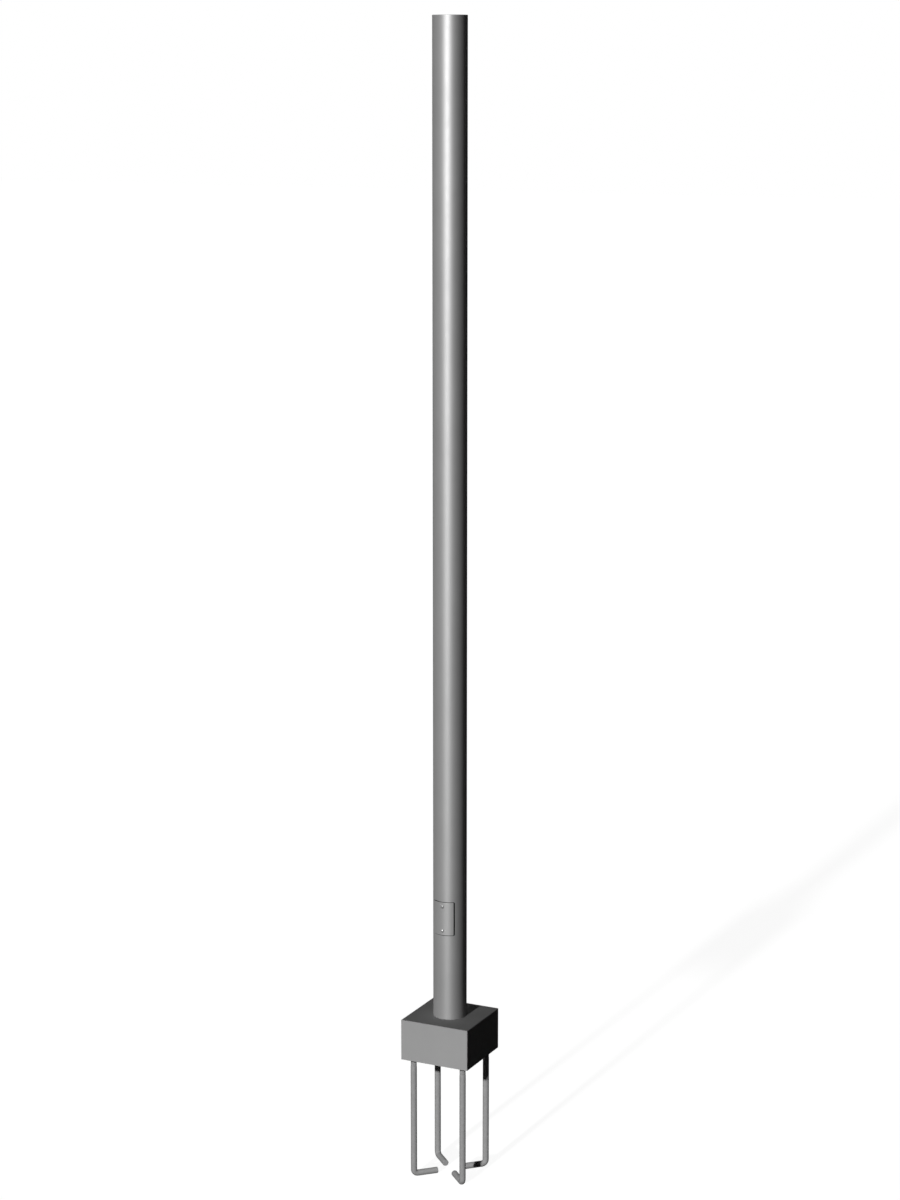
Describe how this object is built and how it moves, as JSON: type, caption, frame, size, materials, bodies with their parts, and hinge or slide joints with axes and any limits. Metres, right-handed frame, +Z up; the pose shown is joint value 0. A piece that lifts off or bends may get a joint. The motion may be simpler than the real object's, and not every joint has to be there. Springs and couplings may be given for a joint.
{
  "type": "straight round light pole",
  "caption": "Straight round steel light pole with an open top, a covered hand hole, a square base cover and hooked anchor bolts.",
  "frame": {"origin": "centre of the base plate's underside, which lies on the foundation", "axes": "+Z up along the pole; -Y is the front, the side with the hand hole; +X is to its right when facing the front"},
  "size_m": [0.2226, 0.2226, 3.4856],
  "materials": {
    "painted_steel": "satin",
    "painted_sheet": "satin",
    "painted_weld": "satin",
    "galvanised_bolt": "matte",
    "galvanised_nut": "matte",
    "screw_steel": "satin"
  },
  "bodies": {
    "pole": {"pole_shaft": "painted_steel", "base_plate": "painted_steel", "outer_weld": "painted_weld", "inner_weld": "painted_weld", "anchor_bolt_front_left": "galvanised_bolt", "anchor_bolt_front_right": "galvanised_bolt", "anchor_bolt_back_left": "galvanised_bolt", "anchor_bolt_back_right": "galvanised_bolt", "washer_front_left": "galvanised_nut", "washer_front_right": "galvanised_nut", "washer_back_left": "galvanised_nut", "washer_back_right": "galvanised_nut", "nut_front_left": "galvanised_nut", "nut_front_right": "galvanised_nut", "nut_back_left": "galvanised_nut", "nut_back_right": "galvanised_nut", "jam_nut_front_left": "galvanised_nut", "jam_nut_front_right": "galvanised_nut", "jam_nut_back_left": "galvanised_nut", "jam_nut_back_right": "galvanised_nut", "hand_hole_frame": "painted_steel", "upper_tab": "painted_steel", "lower_tab": "painted_steel", "hand_hole_cover": "painted_sheet", "upper_screw": "screw_steel", "lower_screw": "screw_steel", "ground_lug": "painted_steel"},
    "base_cover": {"base_cover": "painted_sheet"}
  },
  "joints": [
    {"name": "base_cover_lift", "type": "slide", "parent": "pole", "child": "base_cover", "axis": [0, 0, 1], "range_m": [0, 0.26]}
  ]
}
